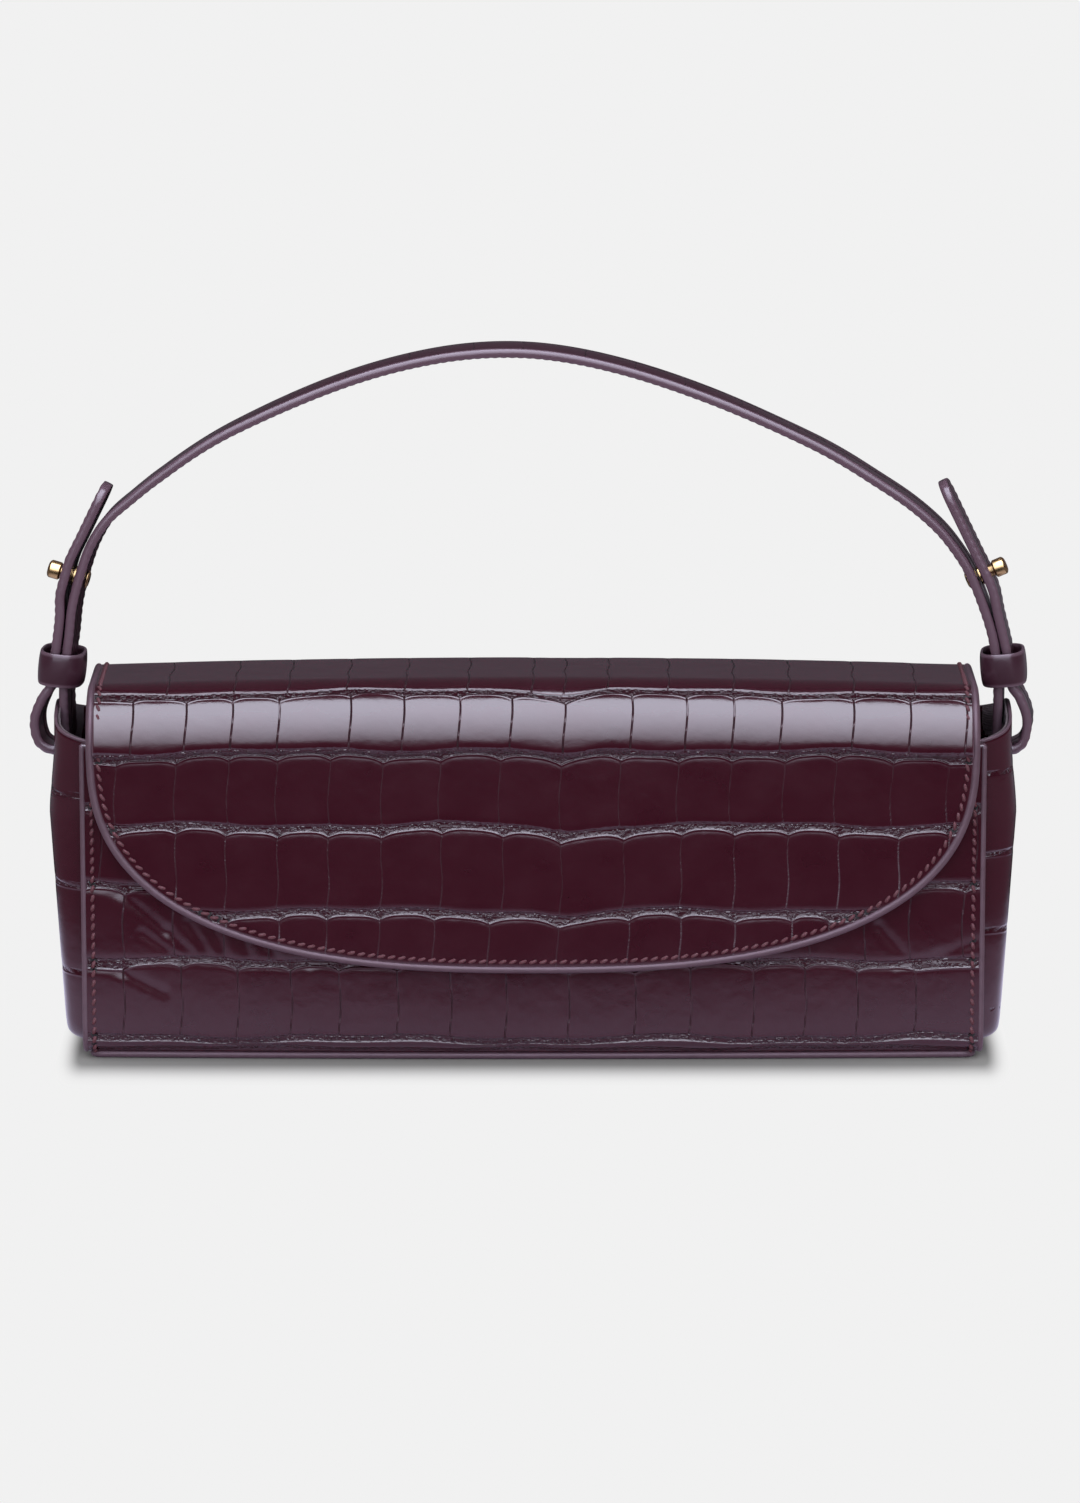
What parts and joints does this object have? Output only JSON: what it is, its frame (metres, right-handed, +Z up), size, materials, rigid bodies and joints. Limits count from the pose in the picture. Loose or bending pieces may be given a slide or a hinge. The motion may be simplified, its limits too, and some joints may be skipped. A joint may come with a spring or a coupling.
{
  "type": "top handle bag",
  "caption": "Small boxy handbag in embossed leather with a curved front flap and a belted top strap that runs through slots in the gussets and buttons onto studs.",
  "frame": {"origin": "middle of the base, on the surface that the bag stands on", "axes": "+X towards the viewer's right along the bag, -Y out of the front, +Z up"},
  "size_m": [0.2898, 0.063, 0.2057],
  "materials": {
    "embossed_leather": "glossy, embossed with large scales",
    "strap_leather": "glossy, embossed, painted edges",
    "lining_cloth": "matt woven",
    "stiffener_board": "matt",
    "magnet_steel": "plated",
    "brushed_brass": "polished"
  },
  "bodies": {
    "body": {"front_panel": "embossed_leather", "front_board": "stiffener_board", "front_magnet": "magnet_steel", "front_lining": "lining_cloth", "back_panel": "embossed_leather", "back_board": "stiffener_board", "back_lining": "lining_cloth", "base_panel": "embossed_leather", "base_board": "stiffener_board", "base_lining": "lining_cloth", "left_gusset": "embossed_leather", "left_gusset_lining": "lining_cloth", "right_gusset": "embossed_leather", "right_gusset_lining": "lining_cloth"},
    "flap_top": {"flap_top_leather": "embossed_leather", "flap_top_board": "stiffener_board", "flap_top_lining": "lining_cloth"},
    "flap_front": {"flap_front_leather": "embossed_leather", "flap_front_board": "stiffener_board", "flap_magnet": "magnet_steel", "flap_front_lining": "lining_cloth"},
    "handle": {"handle_outer_leather": "strap_leather", "handle_core": "stiffener_board", "handle_inner_leather": "strap_leather", "left_stud": "brushed_brass", "left_stud_screw": "brushed_brass", "right_stud": "brushed_brass", "right_stud_screw": "brushed_brass"},
    "left_keeper": {"left_keeper": "strap_leather"},
    "right_keeper": {"right_keeper": "strap_leather"}
  },
  "joints": [
    {"name": "flap_lift", "type": "hinge", "parent": "body", "child": "flap_top", "pos_m": [0, 0.0277, 0.0923], "axis": [-1, 0, 0], "range_deg": [0, 28]},
    {"name": "flap_fold", "type": "hinge", "parent": "flap_top", "child": "flap_front", "pos_m": [0, -0.0269, 0.10556], "axis": [-1, 0, 0], "range_deg": [0, 95]},
    {"name": "handle_swing", "type": "hinge", "parent": "body", "child": "handle", "pos_m": [0, 0, 0.0868], "axis": [-1, 0, 0], "range_deg": [-28, 28]},
    {"name": "left_keeper_slide", "type": "slide", "parent": "handle", "child": "left_keeper", "axis": [0.1287, 0, 0.9917], "range_m": [0, 0.006]},
    {"name": "right_keeper_slide", "type": "slide", "parent": "handle", "child": "right_keeper", "axis": [-0.1963, 0, 0.9806], "range_m": [0, 0.006]}
  ]
}
